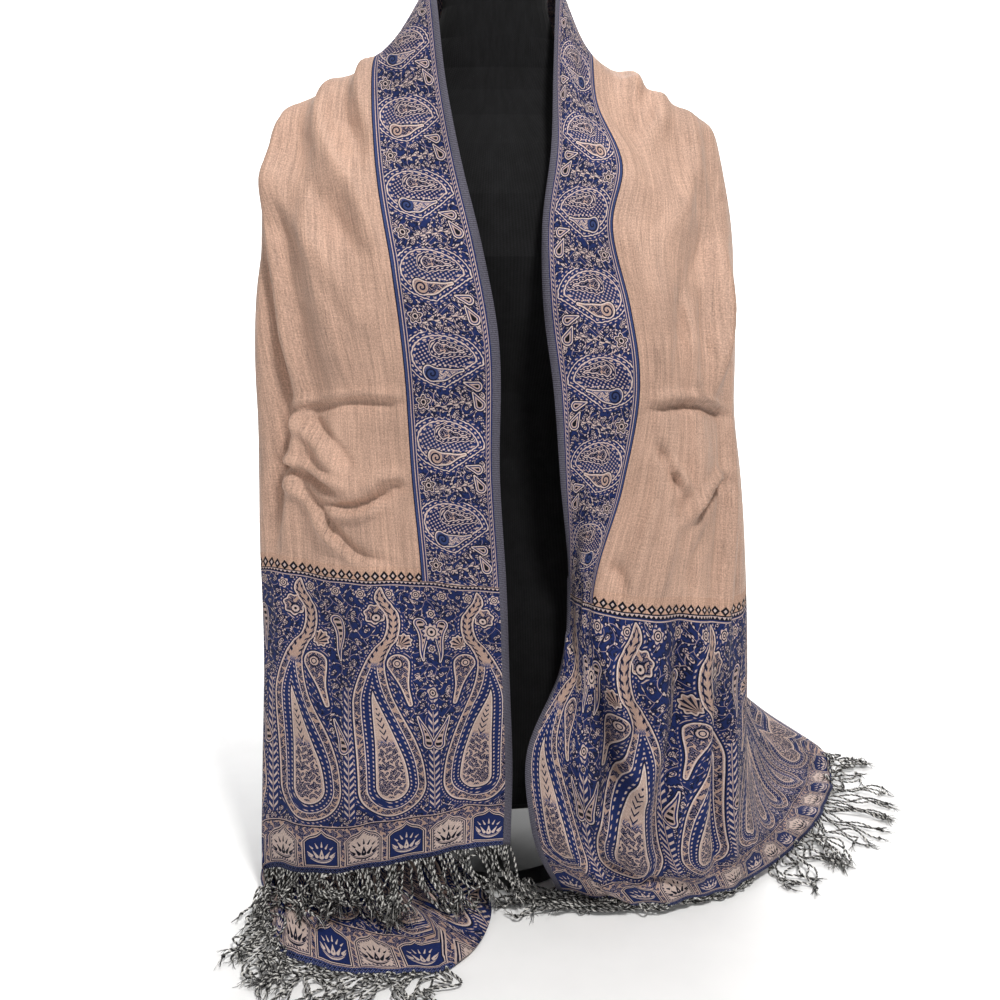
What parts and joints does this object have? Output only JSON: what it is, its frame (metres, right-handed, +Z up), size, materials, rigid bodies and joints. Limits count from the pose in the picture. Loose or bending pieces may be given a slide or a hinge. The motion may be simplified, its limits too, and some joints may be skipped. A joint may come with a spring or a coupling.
{
  "type": "shawl on dress form",
  "caption": "Long woven shawl with patterned borders and end panels and a twisted fringe, draped over the shoulders of a limbless tabletop dress form.",
  "frame": {"origin": "centre of the dress form's round base, on its underside", "axes": "+Z up through the form, -Y towards the front where the shawl opens, +X towards the viewer's right"},
  "size_m": [0.7601, 0.5127, 0.936],
  "materials": {
    "field_cloth": "fine twill weave with a soft sheen and upright slubs",
    "border_cloth": "jacquard weave, blue ground with cream paisley, dull",
    "fringe_yarn": "twisted two-colour yarn, matt",
    "form_jersey": "black knitted cover, stretched smooth",
    "stand_enamel": "black satin enamel"
  },
  "bodies": {
    "root": {"shawl_collar": "border_cloth", "shawl_back": "field_cloth", "shawl_front_left": "field_cloth", "shawl_front_right": "field_cloth", "shawl_end_left": "border_cloth", "shawl_end_right": "border_cloth", "shawl_side_left": "field_cloth", "shawl_side_right": "field_cloth", "shawl_flank_right": "field_cloth", "shawl_train_left": "border_cloth", "shawl_train_right": "border_cloth", "fringe_left_front": "fringe_yarn", "fringe_left_train": "fringe_yarn", "fringe_right_front": "fringe_yarn", "fringe_right_train": "fringe_yarn", "form_torso": "form_jersey", "form_neck_cap": "stand_enamel", "form_pole": "stand_enamel", "form_base": "stand_enamel"}
  },
  "joints": []
}
